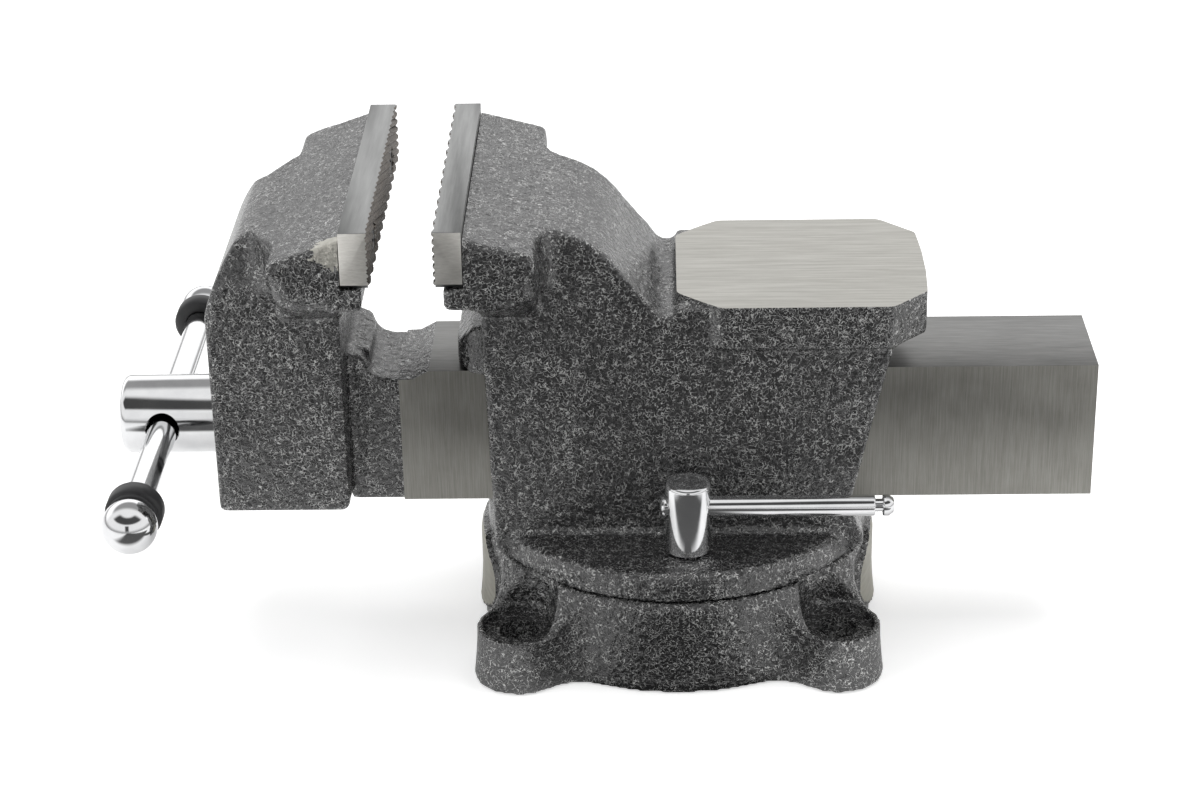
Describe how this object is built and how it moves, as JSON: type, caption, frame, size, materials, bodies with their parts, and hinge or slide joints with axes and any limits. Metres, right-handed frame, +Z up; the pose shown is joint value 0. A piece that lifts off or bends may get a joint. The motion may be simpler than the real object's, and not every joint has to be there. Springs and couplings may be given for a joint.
{
  "type": "bench vise",
  "caption": "Bench vise with serrated steel jaws, hollow slide bar, sliding tommy-bar handle, rear anvil and a lockable swivel base with bolt lugs.",
  "frame": {"origin": "on the swivel axis, at the bench face under the centre of the base", "axes": "+Z up along the swivel axis, +X along the slide bar from the screw handle to the tail, +Y across the jaws"},
  "size_m": [0.4206, 0.2418, 0.2074],
  "materials": {
    "hammertone_casting": "black and silver hammertone paint over rough cast iron, machined faces left bare",
    "machined_steel": "milled bare steel with a fine lay of tool marks",
    "bright_chrome": "bright chrome plate",
    "black_rubber": "satin black rubber",
    "raw_cast_iron": "bare casting, lightly oiled",
    "dark_steel": "black oxide steel"
  },
  "bodies": {
    "base": {"swivel_base": "hammertone_casting"},
    "body": {"static_body": "hammertone_casting", "rear_jaw_insert": "machined_steel", "rear_insert_screw_left": "dark_steel", "rear_insert_screw_right": "dark_steel", "spindle_nut": "raw_cast_iron", "spindle_nut_bolt": "dark_steel", "lock_bolt_near": "dark_steel", "lock_bolt_far": "dark_steel"},
    "jaw": {"sliding_jaw": "hammertone_casting", "front_jaw_insert": "machined_steel", "front_insert_screw_left": "dark_steel", "front_insert_screw_right": "dark_steel", "thrust_washer": "dark_steel", "spindle_spring": "dark_steel"},
    "spindle": {"main_screw": "bright_chrome", "spring_washer": "dark_steel", "split_pin": "dark_steel"},
    "handle": {"handle_rod": "bright_chrome", "handle_ball_near": "bright_chrome", "handle_ball_far": "bright_chrome", "handle_bumper_near": "black_rubber", "handle_bumper_far": "black_rubber"},
    "lock_near": {"lock_nut_near": "bright_chrome"},
    "lever_near": {"lock_lever_near": "bright_chrome"},
    "lock_far": {"lock_nut_far": "bright_chrome"},
    "lever_far": {"lock_lever_far": "bright_chrome"}
  },
  "joints": [
    {"name": "swivel", "type": "hinge", "parent": "base", "child": "body", "pos_m": [0, 0, 0.042], "axis": [0, 0, 1], "continuous": true},
    {"name": "screw_turn", "type": "hinge", "parent": "jaw", "child": "spindle", "pos_m": [-0.2, 0, 0.0924], "axis": [1, 0, 0], "range_deg": [-9122.4, 1828.8]},
    {"name": "jaw_slide", "type": "slide", "parent": "body", "child": "jaw", "axis": [1, 0, 0], "range_m": [-0.1267, 0.0254]},
    {"name": "handle_slide", "type": "slide", "parent": "spindle", "child": "handle", "axis": [0, 1, 0], "range_m": [-0.0794, 0.068]},
    {"name": "lock_turn_near", "type": "hinge", "parent": "body", "child": "lock_near", "pos_m": [0.0044, -0.0616, 0.056], "axis": [0, 0, 1], "range_deg": [-180, 0]},
    {"name": "lever_slide_near", "type": "slide", "parent": "lock_near", "child": "lever_near", "axis": [1, 0, 0], "range_m": [-0.069, 0]},
    {"name": "lock_turn_far", "type": "hinge", "parent": "body", "child": "lock_far", "pos_m": [-0.0044, 0.0616, 0.056], "axis": [0, 0, 1], "range_deg": [-180, 0]},
    {"name": "lever_slide_far", "type": "slide", "parent": "lock_far", "child": "lever_far", "axis": [-1, 0, 0], "range_m": [-0.069, 0]}
  ],
  "couplings": [
    {"joint": "jaw_slide", "follows": "screw_turn", "m_per_rad": 0.00079577}
  ]
}
